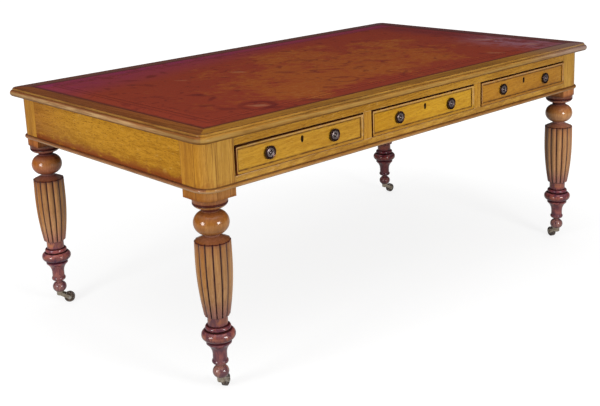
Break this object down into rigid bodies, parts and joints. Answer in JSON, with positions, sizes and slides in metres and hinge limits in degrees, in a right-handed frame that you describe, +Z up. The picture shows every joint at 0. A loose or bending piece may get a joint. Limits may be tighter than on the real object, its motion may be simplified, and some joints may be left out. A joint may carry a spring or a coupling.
{
  "type": "library table",
  "caption": "Oak library table with a leather-lined moulded top, drawers along the front of the frieze and turned, reeded legs on swivel castors.",
  "frame": {"origin": "on the floor, under the middle of the top", "axes": "+Z up, +X along the table's length, the drawers open towards -Y"},
  "size_m": [1.804, 1.06, 0.762],
  "materials": {
    "polished_oak": "French-polished golden oak, darker in the turnings' grooves",
    "plain_oak": "bare planed oak",
    "writing_leather": "worn red-brown hide with a plain darker border",
    "brass": "dull old brass",
    "bronzed_brass": "darkened brass, worn bright on the raised rings",
    "steel": "plain steel",
    "brown_ceramic": "dark brown glaze"
  },
  "bodies": {
    "table": {"top_panel": "plain_oak", "leather_inset": "writing_leather", "top_border_front": "polished_oak", "top_border_back": "polished_oak", "top_border_left": "polished_oak", "top_border_right": "polished_oak", "frieze_bead_front": "polished_oak", "frieze_bead_back": "polished_oak", "frieze_bead_left": "polished_oak", "frieze_bead_right": "polished_oak", "leg_front_left": "polished_oak", "leg_front_right": "polished_oak", "leg_back_right": "polished_oak", "leg_back_left": "polished_oak", "end_rail_left": "polished_oak", "end_rail_right": "polished_oak", "back_rail": "polished_oak", "front_top_rail": "polished_oak", "front_bottom_rail": "polished_oak", "drawer_muntin_left": "polished_oak", "drawer_muntin_right": "polished_oak", "drawer_runners": "plain_oak", "drawer_guides": "plain_oak", "drawer_stops": "plain_oak", "top_bearers": "plain_oak", "top_screws": "steel", "castor_plates": "brass"},
    "drawer_left": {"drawer_left_front": "polished_oak", "drawer_left_moulding": "polished_oak", "drawer_left_sides": "plain_oak", "drawer_left_back": "plain_oak", "drawer_left_bottom": "plain_oak", "drawer_left_knobs": "bronzed_brass", "drawer_left_lock": "brass"},
    "drawer_centre": {"drawer_centre_front": "polished_oak", "drawer_centre_moulding": "polished_oak", "drawer_centre_sides": "plain_oak", "drawer_centre_back": "plain_oak", "drawer_centre_bottom": "plain_oak", "drawer_centre_knobs": "bronzed_brass", "drawer_centre_lock": "brass"},
    "drawer_right": {"drawer_right_front": "polished_oak", "drawer_right_moulding": "polished_oak", "drawer_right_sides": "plain_oak", "drawer_right_back": "plain_oak", "drawer_right_bottom": "plain_oak", "drawer_right_knobs": "bronzed_brass", "drawer_right_lock": "brass"},
    "castor_front_left": {"castor_horn_front_left": "brass", "castor_axle_front_left": "steel"},
    "wheel_front_left": {"castor_wheel_front_left": "brown_ceramic"},
    "castor_front_right": {"castor_horn_front_right": "brass", "castor_axle_front_right": "steel"},
    "wheel_front_right": {"castor_wheel_front_right": "brown_ceramic"},
    "castor_back_right": {"castor_horn_back_right": "brass", "castor_axle_back_right": "steel"},
    "wheel_back_right": {"castor_wheel_back_right": "brown_ceramic"},
    "castor_back_left": {"castor_horn_back_left": "brass", "castor_axle_back_left": "steel"},
    "wheel_back_left": {"castor_wheel_back_left": "brown_ceramic"}
  },
  "joints": [
    {"name": "drawer_left_slide", "type": "slide", "parent": "table", "child": "drawer_left", "axis": [0, -1, 0], "range_m": [0, 0.4]},
    {"name": "drawer_centre_slide", "type": "slide", "parent": "table", "child": "drawer_centre", "axis": [0, -1, 0], "range_m": [0, 0.4]},
    {"name": "drawer_right_slide", "type": "slide", "parent": "table", "child": "drawer_right", "axis": [0, -1, 0], "range_m": [0, 0.4]},
    {"name": "castor_front_left_swivel", "type": "hinge", "parent": "table", "child": "castor_front_left", "pos_m": [-0.823, -0.451, 0.03445], "axis": [0, 0, 1], "continuous": true},
    {"name": "castor_front_left_roll", "type": "hinge", "parent": "castor_front_left", "child": "wheel_front_left", "pos_m": [-0.79729, -0.43555, 0.018], "axis": [-0.515, 0.8572, 0], "continuous": true},
    {"name": "castor_front_right_swivel", "type": "hinge", "parent": "table", "child": "castor_front_right", "pos_m": [0.823, -0.451, 0.03445], "axis": [0, 0, 1], "continuous": true},
    {"name": "castor_front_right_roll", "type": "hinge", "parent": "castor_front_right", "child": "wheel_front_right", "pos_m": [0.83375, -0.42299, 0.018], "axis": [-0.9336, 0.3584, 0], "continuous": true},
    {"name": "castor_back_right_swivel", "type": "hinge", "parent": "table", "child": "castor_back_right", "pos_m": [0.823, 0.451, 0.03445], "axis": [0, 0, 1], "continuous": true},
    {"name": "castor_back_right_roll", "type": "hinge", "parent": "castor_back_right", "child": "wheel_back_right", "pos_m": [0.85293, 0.44891, 0.018], "axis": [0.0698, 0.9976, 0], "continuous": true},
    {"name": "castor_back_left_swivel", "type": "hinge", "parent": "table", "child": "castor_back_left", "pos_m": [-0.823, 0.451, 0.03445], "axis": [0, 0, 1], "continuous": true},
    {"name": "castor_back_left_roll", "type": "hinge", "parent": "castor_back_left", "child": "wheel_back_left", "pos_m": [-0.79756, 0.4351, 0.018], "axis": [0.5299, 0.848, 0], "continuous": true}
  ]
}
